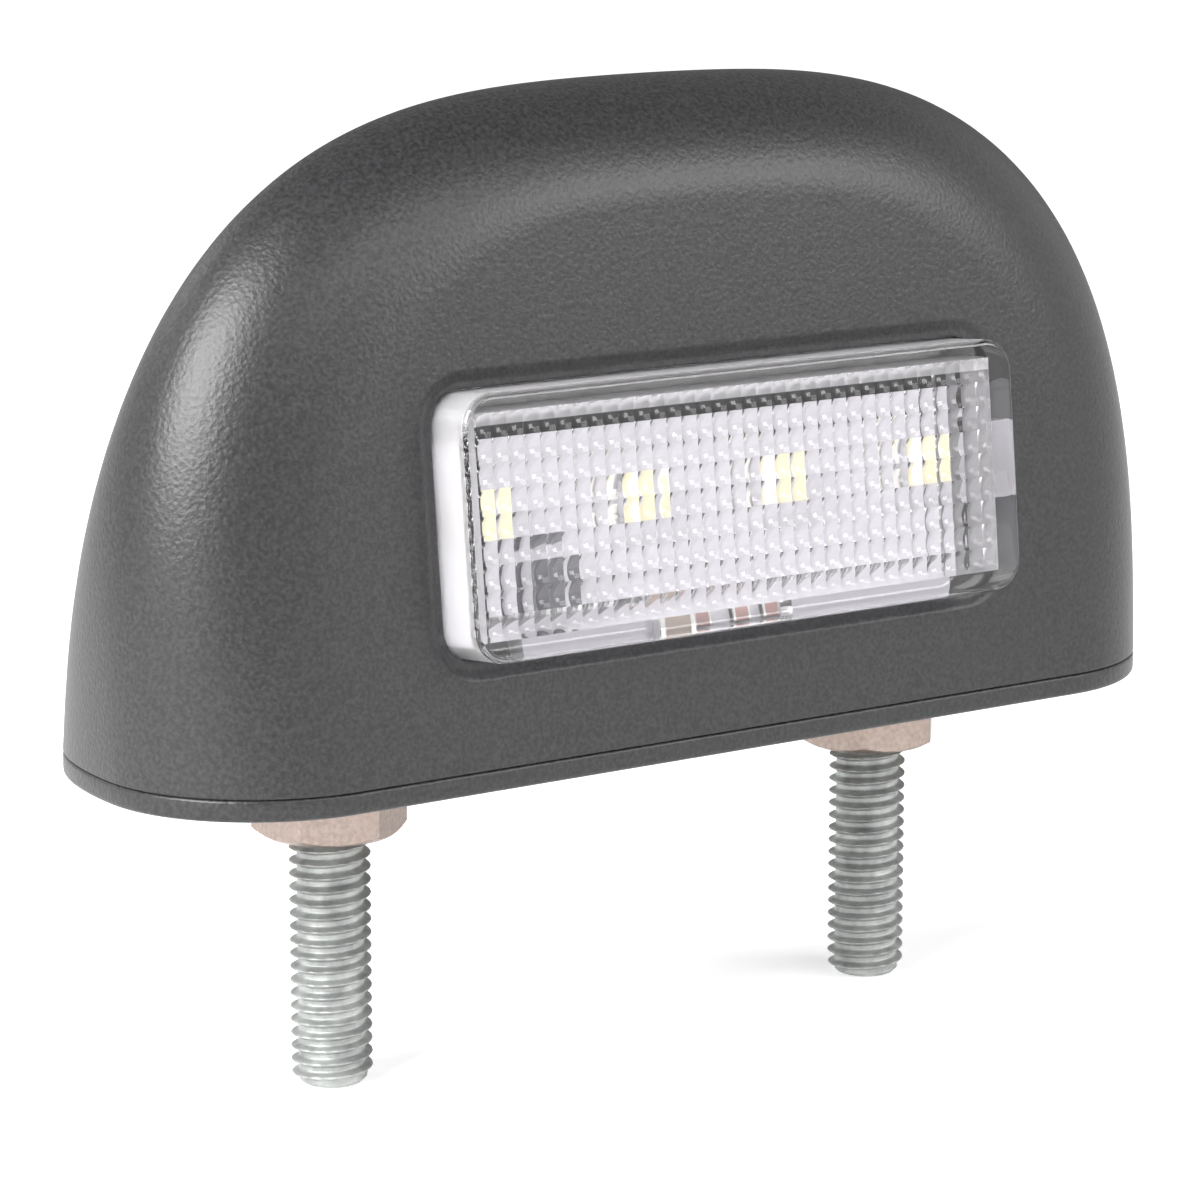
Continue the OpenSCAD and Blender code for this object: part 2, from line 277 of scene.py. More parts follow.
def bodyRings(inset, shift, archSteps, frontSteps, rearSteps):
    # arches from the face over the ridge to the rear; side is -1 before the ridge, 1 behind it
    halfWidth, top = shell["width"] / 2 - inset, shell["height"] - inset
    foot, ridge = shell["jointHeight"], shell["ridgeReach"] + shift
    ux, uz = archUnit(archAngles(archSteps))
    rings = []
    sides = [(k / frontSteps, -1) for k in range(frontSteps, -1, -1)] \
        + [(k / rearSteps, 1) for k in range(1, rearSteps + 1)]
    for part, side in sides:
        a = part * math.pi / 2
        if side < 0:
            corner, crown = shell["sideRound"] - inset, shell["crownRound"] - inset
        else:
            corner, crown = shell["rearSideRound"] - inset, shell["rearCrownRound"] - inset
        x = (halfWidth - corner * (1 - math.cos(a))) * ux
        z = foot + (top - crown * (1 - math.cos(a)) - foot) * uz
        rise = z - foot
        if side < 0:
            depth = shell["frontReach"] - inset - ridge - faceSlope * rise
            y = -ridge - depth * math.sin(a)
        else:
            depth = shell["rearReach"] - inset + ridge - rearSlope * rise
            y = -ridge + depth * math.sin(a)
        rings.append(np.stack([x, y, z], -1))
    return np.array(rings)


def planOutline(ends, front, rear):
    # outline at the joint, drawn in at the ends, front and rear, anticlockwise from the front right
    half, side = shell["width"] / 2 - ends, shell["sideRound"] - ends
    back = max(shell["rearSideRound"] - ends, shell["leastRound"])
    ridge, right = shell["ridgeReach"], []
    frontDepth, rearDepth = shell["frontReach"] - front - ridge, shell["rearReach"] - rear + ridge
    for k in range(shell["frontSteps"] + 1):
        a = math.pi / 2 * (1 - k / shell["frontSteps"])
        right.append((half - side * (1 - math.cos(a)), -ridge - frontDepth * math.sin(a)))
    for k in range(1, shell["rearSteps"] + 1):
        a = math.pi / 2 * k / shell["rearSteps"]
        right.append((half - back * (1 - math.cos(a)), -ridge + rearDepth * math.sin(a)))
    return right + [(-x, y) for x, y in reversed(right)]


# ABS, injection moulded against a spark-eroded tool: an even matt grain of small
# pits about 0.3 mm apart, with a weak broad sheen and no sharp reflection
plastic = {
    "roughness": 0.37, "ior": 1.53, "sheen": 0.4, "mottle": ((0.35, "#212122"), (0.68, "#343435")),
    "grainScale": 3200.0, "grainDetail": 2.0, "grainRoughness": 0.55, "pitScale": 2600.0, "pitShare": 0.6,
    "bumpStrength": 0.5, "bumpDepth": 0.06,
}


def plasticMaterial(name):
    material, tree, shader = newMaterial(name, Roughness=plastic["roughness"], IOR=plastic["ior"],
                                         Specular_IOR_Level=plastic["sheen"])
    place, grain = addNoise(tree, plastic)
    pits = addNode(tree, "ShaderNodeTexVoronoi", {"feature": "F1"}, Vector=place, Scale=plastic["pitScale"])
    height = maths(tree, "MULTIPLY_ADD", pits.outputs["Distance"], plastic["pitShare"], grain)
    addBump(tree, shader, height, plastic)
    addMottle(tree, shader, grain, plastic)
    return material


housingPlastic = plasticMaterial("mouldedABS")
basePlastic = plasticMaterial("mouldedABSBase")


def ringSide(rings, radius, side):
    # rows of points that round the foot edge at one end of the rings, from the lowest up
    foot = rings[:, 0 if side > 0 else -1, :]
    tangent = np.gradient(foot[:, :2], axis=0)
    normal = np.stack([tangent[:, 1], -tangent[:, 0]], -1)
    normal /= np.linalg.norm(normal, axis=1)[:, None]
    if side < 0:
        normal = -normal
    normal[0], normal[-1] = (0, -1), (0, 1)
    rows = []
    for a in (90, 60, 30, 0):
        inset = radius * (1 - math.cos(math.radians(a)))
        rise = radius * (1 - math.sin(math.radians(a)))
        rows.append(np.concatenate([foot[:, :2] - normal * inset, foot[:, 2:] + rise], 1))
    return rows


def makeHousing():
    bm = bmesh.new()
    outer = bodyRings(0, 0, shell["archSteps"], shell["frontSteps"], shell["rearSteps"])
    inner = bodyRings(shell["wall"], shell["hollowShift"], shell["innerArchSteps"], shell["innerSteps"],
                      shell["innerSteps"])

    def skin(rings, radius):
        right = ringSide(rings, radius, 1) if radius else [rings[:, 0, :]]
        left = ringSide(rings, radius, -1) if radius else [rings[:, -1, :]]
        rows = right + [rings[:, i, :] for i in range(1, rings.shape[1] - 1)] + left[::-1]
        grid = [[bm.verts.new(Vector(p) * mm) for p in row] for row in rows]  # grid[along][ring]
        for i in range(len(grid) - 1):
            bridge(bm, grid[i], grid[i + 1], closed=False)
        extra = len(right) - 1
        for end in (0, -1):  # the straight strips under the face and the rear
            for i in range(extra):
                bm.faces.new((grid[i][end], grid[i + 1][end], grid[-2 - i][end], grid[-1 - i][end]))
        cap = [grid[i][0] for i in range(extra, len(grid) - extra)]
        back = [grid[i][-1] for i in range(extra, len(grid) - extra)]
        return cap, back, grid[0] + grid[-1][::-1]

    outerCap, outerBack, outerFoot = skin(outer, shell["jointRound"])
    innerCap, innerBack, innerFoot = skin(inner, 0)
    bm.faces.new(outerBack)
    bm.faces.new(innerBack)
    planarFill(bm, [outerFoot, innerFoot])

    # the recess round the window, from the face inwards
    start, end, deep = window["valleyStart"], window["valleyEnd"], window["recessDepth"]
    fit, edge, steps = window["fit"], window["edgeRound"], shell["valleySteps"]
    profile = [(end + (start - end) * k / steps, deep * (0.5 + 0.5 * math.cos(math.pi * k / steps)))
               for k in range(steps, -1, -1)]
    for a in map(math.radians, (0, 45, 90)):
        profile.append((fit + edge - edge * math.sin(a), deep + edge - edge * math.cos(a)))
    profile.append((fit, shell["wall"] * leanCos))
    loops = []
    for offset, depth in profile:
        wide, high = window["width"] + 2 * offset, window["height"] + 2 * offset
        loops.append(faceVerts(bm, roundedLoop(wide, high, window["corner"] + offset), depth))
    for near, far in zip(loops, loops[1:]):
        bridge(bm, near, far)
    planarFill(bm, [outerCap, loops[0]])
    planarFill(bm, [innerCap, loops[-1]])
    obj = bmeshObject("housingShell", bm, shell["creaseAngle"], housingPlastic)
    return settle(obj, ("WEIGHTED_NORMAL", {"mode": "FACE_AREA", "keep_sharp": True}))


housingShell = finishPiece(makeHousing(), "housing")
print("housing shell:", len(housingShell.data.polygons), "faces")

base = {
    "plugHeight": 2.8, "plugFit": 0.35, "landWidth": 2.6, "relief": 0.8, "bossDiameter": 13.0, "bossDrop": 0.1,
    "studSpan": 50.0, "holeDiameter": 6.5, "pocketFlats": 10.3, "headSeat": 2.0,
    "inletReach": 3.5, "inletHole": 10.0, "beyond": 1.0,
}
plateTop = shell["jointHeight"] + base["plugHeight"]


def prism(name, outline, low, high):
    n = len(outline)
    points = [(x, y, low) for x, y in outline] + [(x, y, high) for x, y in outline]
    faces = [tuple(range(n - 1, -1, -1)), tuple(range(n, 2 * n))]
    faces += [(i, (i + 1) % n, n + (i + 1) % n, n + i) for i in range(n)]
    return meshFrom(name, points, faces, basePlastic)


def makeBase():
    foot, joint, jointZ = shell["footRound"], shell["jointRound"], shell["jointHeight"]
    plug = shell["wall"] + base["plugFit"]
    layers = [(foot * (1 - math.sin(a)), foot * (1 - math.cos(a))) for a in map(math.radians, (0, 22, 45, 68, 90))]
    layers += [(joint * (1 - math.cos(a)), jointZ - joint + joint * math.sin(a))
               for a in map(math.radians, (0, 30, 60, 90))]
    outlines = [(planOutline(inset, inset, inset), z) for inset, z in layers]
    plugPlan = planOutline(plug, plug + faceSlope * base["plugHeight"], plug + rearSlope * base["plugHeight"])
    outlines += [(plugPlan, jointZ), (plugPlan, plateTop)]
    points, faces = [], []
    n = len(plugPlan)
    for outline, z in outlines:
        points += [(x, y, z) for x, y in outline]
    for j in range(len(outlines) - 1):
        faces += [(j * n + i, j * n + (i + 1) % n, (j + 1) * n + (i + 1) % n, (j + 1) * n + i) for i in range(n)]
    faces += [tuple(range(n - 1, -1, -1)), tuple(range((len(outlines) - 1) * n, len(outlines) * n))]
    obj = meshFrom("basePlate", points, faces, basePlastic)
    land, below, above = base["landWidth"], -base["beyond"], plateTop + base["beyond"]
    relief = prism("reliefCutter", planOutline(land, land, land), below, base["relief"])
    studsX = [side * base["studSpan"] / 2 for side in (-1, 1)]
    for x in studsX:
        boss = circle(x, 0, base["bossDiameter"] / 2)
        carve(relief, prism("boss", boss, base["bossDrop"], base["headSeat"]))
    carve(obj, relief)
    for x in studsX:
        carve(obj, prism("studHole", circle(x, 0, base["holeDiameter"] / 2), below, above))
        pocket = circle(x, 0, hexCorner(base["pocketFlats"]), 6)
        carve(obj, prism("headPocket", pocket, base["headSeat"], above))
    inlet = circle(0, -base["inletReach"], base["inletHole"] / 2)
    carve(obj, prism("inletHole", inlet, below, above))
    tidyMesh(obj.data, shell["creaseAngle"])
    return obj


basePlate = finishPiece(makeBase(), "base_plate")
print("base plate:", len(basePlate.data.polygons), "faces")


grommet = {
    "bore": 2.6, "neck": 4.9, "flange": 6.5, "groove": 0.35, "foot": 0.1,
    "colour": "#1c1c1d", "roughness": 0.75,
}


def makeGrommet():
    # EPDM rubber, moulded: dead matt and very dark; two sealing grooves in the bore
    bore, flange, neck, groove = grommet["bore"], grommet["flange"], grommet["neck"], grommet["groove"]
    low, relief = grommet["foot"], base["relief"]
    profile = [
        (bore + 0.3, low), (flange - 0.35, low), (flange - 0.1, 0.2), (flange, 0.45), (flange, relief),
        (neck, relief), (neck, plateTop), (flange, plateTop), (flange - 0.1, plateTop + 0.5),
        (flange - 0.4, plateTop + 1.2), (bore + 1.7, plateTop + 2.2), (bore + 1.3, plateTop + 2.4),
        (bore + 0.2, plateTop + 2.4), (bore, plateTop + 2.2), (bore, 3.6), (bore + groove, 3.3),
        (bore, 3.0), (bore, 2.4), (bore + groove, 2.1), (bore, 1.8), (bore, 0.4)]
    rubber = simpleMaterial("mouldedEPDM", grommet["colour"], grommet["roughness"])
    return lathe("cableGrommet", profile, rubber, (0, -base["inletReach"]))


finishPiece(makeGrommet(), "cable_grommet")
print("cable grommet made")


lens = {
    "proud": 3.7, "front": 2.0, "wall": 1.5, "flangeLip": 1.2, "flangeThickness": 1.1,
    "seatFit": 0.05, "edgeRound": 0.45, "lipRound": 0.1, "seatRound": 0.15,
    "columns": 34, "rows": 9, "cellSteps": 6, "pillowRadius": 2.35, "polishedCorner": 0.7,
    "pocket": {"left": -6.97, "right": 4.93, "low": -9.8, "near": 1.89, "overlap": 0.5, "beyond": 1},
    "leastCorner": 0.4, "cornerSteps": 10, "outerCrease": 25, "finalCrease": 22,
    "colour": "#fbfafb", "shadowColour": "#cbcacd", "ior": 1.58,
    "polished": {"roughness": 0.03, "clarity": 1.0}, "satin": {"roughness": 0.3, "clarity": 0.8},
}
flangeDepth = shell["wall"] * leanCos + lens["seatFit"]
backDepth = flangeDepth + lens["flangeThickness"]
ceilingDepth = lens["front"] - lens["proud"]


def lensMaterial(name, finish):
    # polycarbonate, clear: bends light strongly and glints on every pillow, with sides left
    # satin by the tool; shadow rays pass it, so that the lights also reach the board behind it
    material, tree, shader = newMaterial(
        name, Base_Color=linearColour(lens["colour"]), IOR=lens["ior"],
        Roughness=finish["roughness"], Transmission_Weight=finish["clarity"])
    clear = addNode(tree, "ShaderNodeBsdfTransparent", None, Color=linearColour(lens["shadowColour"]))
    path = addNode(tree, "ShaderNodeLightPath")
    mix = addNode(tree, "ShaderNodeMixShader", None, in0=path.outputs["Is Shadow Ray"],
                  in1=shader.outputs[0], in2=clear.outputs[0])
    tree.links.new(mix.outputs[0], tree.nodes["Material Output"].inputs["Surface"])
    return material


def newShapeTree(name, **inputs):
    # a group of geometry nodes with the named inputs, each of a socket type
    tree = bpy.data.node_groups.new(name, "GeometryNodeTree")
    face = tree.interface
    face.new_socket("Geometry", in_out="INPUT", socket_type="NodeSocketGeometry")
    face.new_socket("Geometry", in_out="OUTPUT", socket_type="NodeSocketGeometry")
    sockets = {}
    for kind, names in inputs.items():
        for title in names:
            socket = face.new_socket(title, in_out="INPUT", socket_type="NodeSocket" + kind)
            sockets[title] = socket.identifier
    return tree, sockets, addNode(tree, "NodeGroupInput").outputs, addNode(tree, "NodeGroupOutput")


def runShapeTree(obj, tree, sockets, values):
    modifier = obj.modifiers.new(tree.name, "NODES")
    modifier.node_group = tree
    for name, value in values.items():
        modifier[sockets[name]] = value
    return settle(obj)


def pillowTree():
    # pushes the lens's inner ceiling out into a grid of pillows, by its own marked attributes
    tree, sockets, entry, leave = newShapeTree(
        "pillowOptic", Float=("Cell Width", "Cell Height", "Pillow Radius"), Vector=("Inwards",))

    def attribute(name):
        settings = {"data_type": "FLOAT"}
        return addNode(tree, "GeometryNodeInputNamedAttribute", settings, Name=name).outputs["Attribute"]

    def bulge(place, cell):
        # the cell's half width squared, less the square of the distance from its middle
        part = maths(tree, "FRACT", maths(tree, "DIVIDE", place, cell))
        signed = maths(tree, "MULTIPLY_ADD", part, 2.0, -1.0)
        fall = maths(tree, "SUBTRACT", 1.0, maths(tree, "MULTIPLY", signed, signed))
        half = maths(tree, "MULTIPLY", cell, 0.5)
        return maths(tree, "MULTIPLY", fall, maths(tree, "MULTIPLY", half, half))

    both = maths(tree, "ADD", bulge(attribute("across"), entry["Cell Width"]),
                 bulge(attribute("upward"), entry["Cell Height"]))
    height = maths(tree, "DIVIDE", maths(tree, "MULTIPLY", both, attribute("ceiling")),
                   maths(tree, "MULTIPLY", entry["Pillow Radius"], 2.0))
    offset = addNode(tree, "ShaderNodeVectorMath", {"operation": "SCALE"}, in0=entry["Inwards"], Scale=height)
    moved = addNode(tree, "GeometryNodeSetPosition", None, Geometry=entry["Geometry"], Offset=offset.outputs[0])
    plain = addNode(tree, "GeometryNodeRealizeInstances", None, Geometry=moved.outputs[0])
    tree.links.new(plain.outputs[0], leave.inputs[0])
    return tree, sockets


def makeLens(polished, satin):
    bm = bmesh.new()
    across, upward, ceiling = [bm.verts.layers.float.new(name) for name in ("across", "upward", "ceiling")]
    r, lip, soft, seat = lens["edgeRound"], lens["flangeLip"], lens["lipRound"], lens["seatRound"]

    def makeSatin(faces):
        for face in faces:
            face.material_index = 1

    def ring(offset, depth):
        wide, high = window["width"] + 2 * offset, window["height"] + 2 * offset
        corner = max(window["corner"] + offset, lens["leastCorner"])
        return faceVerts(bm, roundedLoop(wide, high, corner, lens["cornerSteps"]), depth)

    profile = [(-r + r * math.sin(a), -lens["proud"] + r * (1 - math.cos(a)))
               for a in map(math.radians, (0, 18, 36, 54, 72, 90))]
    wallStrip = len(profile) - 1
    profile += [(0, flangeDepth - seat), (seat, flangeDepth), (lip - soft, flangeDepth),
                (lip, flangeDepth + soft), (lip, backDepth - soft), (lip - soft, backDepth)]
    loops = [ring(*p) for p in profile]
    bm.faces.new(loops[0])
    for near, far in zip(loops, loops[1:]):
        bridge(bm, near, far)
    bm.faces.ensure_lookup_table()
    # the outer walls are satin, but the draft of the tool leaves the right end polished
    rightEnd = (window["width"] / 2 - lens["polishedCorner"] * window["corner"]) * mm
    outerWalls = bm.faces[1 + wallStrip * len(loops[0]):1 + (wallStrip + 1) * len(loops[0])]
    makeSatin(face for face in outerWalls if face.calc_center_median().x < rightEnd)

    # the inner ceiling as a grid that fits whole pillows
    w, h = window["width"] - 2 * lens["wall"], window["height"] - 2 * lens["wall"]
    nu, nv = lens["columns"] * lens["cellSteps"], lens["rows"] * lens["cellSteps"]
    grid = []
    for j in range(nv + 1):
        row = []
        for i in range(nu + 1):
            u, v = w * i / nu, h * j / nv
            vert = bm.verts.new(Vector(onFace(u - w / 2, ceilingDepth, window["middle"] + v - h / 2)) * mm)
            vert[across], vert[upward] = u * mm, v * mm
            vert[ceiling] = 0.0 if i in (0, nu) or j in (0, nv) else 1.0
            row.append(vert)
        grid.append(row)
    for near, far in zip(grid, grid[1:]):
        bridge(bm, near, far, closed=False)
    bm.faces.ensure_lookup_table()
    makeSatin(bm.faces[-nu * (lens["cellSteps"] // 2):])  # the upper half of the highest pillows
    edge = grid[0] + [row[-1] for row in grid[1:]] + grid[-1][-2::-1] + [row[0] for row in grid[-2:0:-1]]
    inwards = Vector(onFace(0, 1, 0)) - Vector(onFace(0, 0, 0))
    low = [bm.verts.new(v.co + inwards * (backDepth - ceilingDepth) * mm) for v in edge]
    walls = len(bm.faces)
    bridge(bm, edge, low)
    bm.faces.ensure_lookup_table()
    makeSatin(bm.faces[walls + nu:walls + 2 * (nu + nv)])  # all inner walls but the lower one
    planarFill(bm, [loops[-1], low])
    obj = bmeshObject("clearLens", bm, lens["outerCrease"], polished, satin)
    tree, sockets = pillowTree()
    runShapeTree(obj, tree, sockets, {
        "Cell Width": w * mm / lens["columns"], "Cell Height": h * mm / lens["rows"],
        "Pillow Radius": lens["pillowRadius"] * mm, "Inwards": tuple(inwards)})
    # room for the chips in the back of the lower wall
    pocket = lens["pocket"]
    ledge = -window["height"] / 2 + lens["wall"] + pocket["overlap"]
    cutter = [onFace(x, y, window["middle"] + z) for y in (pocket["near"], backDepth + pocket["beyond"])
              for z in (pocket["low"], ledge) for x in (pocket["left"], pocket["right"])]
    carve(obj, meshFrom("pocketCutter", cutter, boxQuads, polished))
    obj.data.set_sharp_from_angle(angle=math.radians(lens["finalCrease"]))
    return obj


clearLens = finishPiece(makeLens(lensMaterial("clearPolycarbonate", lens["polished"]),
                                 lensMaterial("satinPolycarbonate", lens["satin"])), "lens")
print("lens:", len(clearLens.data.polygons), "faces")


board = {
    "width": 62.1, "fullWidth": 49.2, "rightGap": 1.8, "earHeight": 5.6, "top": 5.6, "low": 9.8,
    "thickness": 1.6, "corner": 0.8, "cornerSteps": 6, "tabHeight": 1.8, "tabLeft": 6.5, "tabRight": 4.3,
    "screwSpan": 57.5, "screwHole": 2.7, "holeSteps": 32,
}
boardFront = backDepth + lens["seatFit"]
boardBack = boardFront + board["thickness"]

solderMask = simpleMaterial("whiteSolderMask", "#c7c6ca", 0.35)
tinPlate = simpleMaterial("reflowedTin", "#c9c9c6", 0.3, 1.0)
ledWhite = simpleMaterial("whitePPA", "#f4f2ea", 0.4)
phosphor = simpleMaterial("yellowPhosphorSilicone", "#e5dfba", 0.35)
epoxyBlack = simpleMaterial("mouldedEpoxy", "#1b1b1c", 0.5)
epoxyGrey = simpleMaterial("filledEpoxy", "#58585b", 0.45)
resistorRed = simpleMaterial("resistorLacquer", "#a57c75", 0.3)
ceramicBrown = simpleMaterial("bariumTitanateCeramic", "#a39486", 0.45)


def addPart(parts, bm, material, bevel=0.0):
    bmesh.ops.recalc_face_normals(bm, faces=bm.faces)
    if bevel:
        bmesh.ops.bevel(bm, geom=bm.edges[:], offset=bevel * mm, segments=2, affect="EDGES", profile=0.5)
    parts.append((bm, material))


def block(parts, x0, x1, z0, z1, height, material, bevel):
    # a box that stands on the board, in a list of parts to be joined
    bm = bmesh.new()
    flat = [(x, z) for z in (z0, z1) for x in (x0, x1)]
    corners = faceVerts(bm, flat, boardFront - height) + faceVerts(bm, flat, boardFront)
    for quad in boxQuads:
        bm.faces.new([corners[i] for i in quad])
    addPart(parts, bm, material, bevel)


def joinParts(name, parts, smoothAngle=partCrease):
    mesh = bpy.data.meshes.new(name)
    whole = bmesh.new()
    for bm, material in parts:
        if material.name not in mesh.materials:
            mesh.materials.append(material)
        index = mesh.materials.find(material.name)
        for face in bm.faces:
            face.material_index = index
            face.smooth = True
        temp = bpy.data.meshes.new("temp")
        bm.to_mesh(temp)
        bm.free()
        whole.from_mesh(temp)
        bpy.data.meshes.remove(temp)
    whole.to_mesh(mesh)
    whole.free()
    mesh.set_sharp_from_angle(angle=math.radians(smoothAngle))
    return newObject(name, mesh)


def slabPart(parts, loops, material):
    # closed slab through two or more loops of (points, depth)
    bm = bmesh.new()
    rings = [faceVerts(bm, flat, depth) for flat, depth in loops]
    bm.faces.new(rings[0])
    bm.faces.new(rings[-1][::-1])
    for near, far in zip(rings, rings[1:]):
        bridge(bm, near, far)
    addPart(parts, bm, material)


def boardOutline():
    # body behind the window, an ear at each end and a tab along the lower edge
    half, end, ear = board["fullWidth"] / 2, board["width"] / 2, board["earHeight"] / 2
    top, foot, low, r = board["top"], -board["low"] + board["tabHeight"], -board["low"], board["corner"]
    left, right, rim = board["tabLeft"] - half, half - board["tabRight"], half - board["rightGap"]
    corners = [(rim, top, r), (-half, top, r), (-half, ear, 0), (-end, ear, r), (-end, -ear, r),
               (-half, -ear, 0), (-half, foot, r), (left, foot, 0), (left, low, 0), (right, low, 0),
               (right, foot, 0), (rim, foot, r), (rim, -ear, 0), (end, -ear, r), (end, ear, r), (rim, ear, 0)]
    outline, steps = [], board["cornerSteps"]
    for k, (x, z, radius) in enumerate(corners):
        spot = Vector((x, z))
        back = (Vector(corners[k - 1][:2]) - spot).normalized()
        on = (Vector(corners[(k + 1) % len(corners)][:2]) - spot).normalized()
        if not radius:
            outline.append(tuple(spot))
            continue
        for i in range(steps + 1):
            a = math.pi / 2 * i / steps
            outline.append(tuple(spot + radius * (back + on - math.cos(a) * on - math.sin(a) * back)))
    return outline


def makeBoard():
    parts, holes = [], []
    bm = bmesh.new()
    depths = (boardFront, boardBack)
    rings = [faceVerts(bm, boardOutline(), depth) for depth in depths]
    bridge(bm, rings[0], rings[1])
    for side in (-1, 1):
        hole = circle(side * board["screwSpan"] / 2, 0, board["screwHole"] / 2, board["holeSteps"])
        holes.append([faceVerts(bm, hole, depth) for depth in depths])
        bridge(bm, *holes[-1])
    for k in (0, 1):
        planarFill(bm, [rings[k], holes[0][k], holes[1][k]])
    addPart(parts, bm, solderMask)
    return joinParts("circuitBoard", parts)


finishPiece(makeBoard(), "circuit_board")

led = {
    "count": 4, "pitch": 0.266 * window["width"], "rise": 0.3, "width": 3.5, "height": 2.8, "thickness": 1.9,
    "legReach": 0.15, "legWidth": 0.5, "legShare": 0.32, "legHeight": 0.5, "rimWidth": 0.7, "rimHeight": 0.4,
    "domeCorner": 0.5, "dome": ((0.1, 0.08), (0.5, 0.07), (0.85, 0.04), (1.0, 0.01), (1.0, -0.1)),
    "cornerSteps": 6, "bodyBevel": 0.12, "legBevel": 0.05,
}


def makeLed(i):
    x, z, parts = (i - (led["count"] + 1) / 2) * led["pitch"], led["rise"], []
    w, h, t, reach = led["width"], led["height"], led["thickness"], led["legReach"]
    leg, legHigh = led["legWidth"], h * led["legShare"]
    block(parts, x - w / 2 + reach, x + w / 2 - reach, z - h / 2, z + h / 2, t, ledWhite, led["bodyBevel"])
    for x0, x1 in ((x - w / 2, x - w / 2 + leg), (x + w / 2 - leg, x + w / 2)):
        block(parts, x0, x1, z - legHigh, z + legHigh, led["legHeight"], tinPlate, led["legBevel"])
    # the phosphor fills nearly the whole top, softly domed
    loops = []
    for share, rise in led["dome"]:
        flat = roundedLoop((w - led["rimWidth"]) * share, (h - led["rimHeight"]) * share,
                           led["domeCorner"] * share, led["cornerSteps"])
        loops.append(([(x + px, z + pz) for px, pz in flat], boardFront - t - rise))
    slabPart(parts, loops, phosphor)
    return joinParts("led%d" % i, parts)


for i in range(1, led["count"] + 1):
    finishPiece(makeLed(i), "led_%d" % i)

# places are from the window's middle; sizes are width, height and thickness
chips = {
    "line": 1.1 - board["low"], "capacitorX": -0.39 * led["pitch"], "resistorSteps": (2.7, 6.2, 8.9),
    "rectifierX": -1.1 * led["pitch"], "rectifierZ": -4.6,
    "rectifier": (2.6, 4.2, 2.1), "capacitor": (3.2, 1.6, 1.2), "resistor": (1.6, 0.9, 0.5),
    "capShare": 0.16, "capLift": 0.02, "bodyBevel": 0.08, "capBevel": 0.06,
}


def makeChip(name, x, z, size, body, capped=True):
    # body with a tinned cap at each end
    w, h, t = size
    parts, lift = [], chips["capLift"]
    block(parts, x - w / 2, x + w / 2, z - h / 2, z + h / 2, t, body, chips["bodyBevel"])
    for side in (-1, 1) if capped else ():
        a, b = sorted((x + side * w / 2, x + side * (w / 2 - w * chips["capShare"])))
        block(parts, a, b, z - h / 2 - lift, z + h / 2 + lift, t + lift, tinPlate, chips["capBevel"])
    return joinParts(name, parts)


finishPiece(makeChip("rectifierDiode", chips["rectifierX"], chips["rectifierZ"], chips["rectifier"], epoxyGrey,
                     capped=False), "rectifier_diode")
finishPiece(makeChip("ceramicCapacitor", chips["capacitorX"], chips["line"], chips["capacitor"], ceramicBrown),
            "capacitor")
for k, step in enumerate(chips["resistorSteps"], 1):
    finishPiece(makeChip("chipResistor%d" % k, chips["capacitorX"] + step, chips["line"], chips["resistor"],
                         resistorRed), "resistor_%d" % k)
print("board and components made")


stud = {
    "major": 6.0, "pitch": 1.0, "depth": 0.58, "length": 26.4, "headFlats": 10.0, "headHeight": 4.0,
    "headBevel": 0.2, "shank": 5.34, "shankOverlap": 0.4, "shankRise": 1, "threadStart": 0.6,
    "tipChamfer": 0.8, "weld": 0.002, "poleWeld": 0.004,
    "rowsPerPitch": 16, "around": 48, "rootEnd": 0.3, "crestStart": 1.02, "creaseAngle": 50,
    # cold rolled and zinc plated: a pale bluish grey metal with a soft gloss
    "roughness": 0.6, "mottle": ((0.3, "#989a99"), (0.7, "#c1c3c1")),
    "grainScale": 700.0, "grainDetail": 3.0, "grainRoughness": 0.6,
}
nut = {
    "height": 5.7, "flats": 10.0, "turn": {-1: -24.4, 1: -10.8}, "top": 0.1, "boreInset": 0.28,
    "boreChamfer": 0.45, "rimShare": 0.475, "chamferAngle": 30, "creaseAngle": 14,
    "levels": (0.0, 0.04, 0.1, 0.2, 0.32, 0.46, 0.62, 0.8, 1.0),
    # degrees from a corner, closer beside it, where a narrow facet breaks the edge
    "angles": (-27, -24, -21, -18, -15, -12, -9, -6, -3, -1.4, 1.4, 3, 6, 9, 12, 15, 18, 21, 24, 27, 30),
    # hot forged and zinc-nickel plated: a warm pinkish grey, satin from fine pores
    "roughness": 0.4, "mottle": ((0.35, "#998a82"), (0.65, "#ab9c94")),
    "grainScale": 2500.0, "grainDetail": 3.0, "grainRoughness": 0.65, "bumpStrength": 0.35, "bumpDepth": 0.03,
}


def steelMaterial(name, look):
    material, tree, shader = newMaterial(name, Metallic=1.0, Roughness=look["roughness"])
    grain = addNoise(tree, look)[1]
    if "bumpDepth" in look:
        addBump(tree, shader, grain, look)
    addMottle(tree, shader, grain, look)
    return material


zincSteel = steelMaterial("zincPlatedSteel", stud)
warmSteel = steelMaterial("zincNickelSteel", nut)


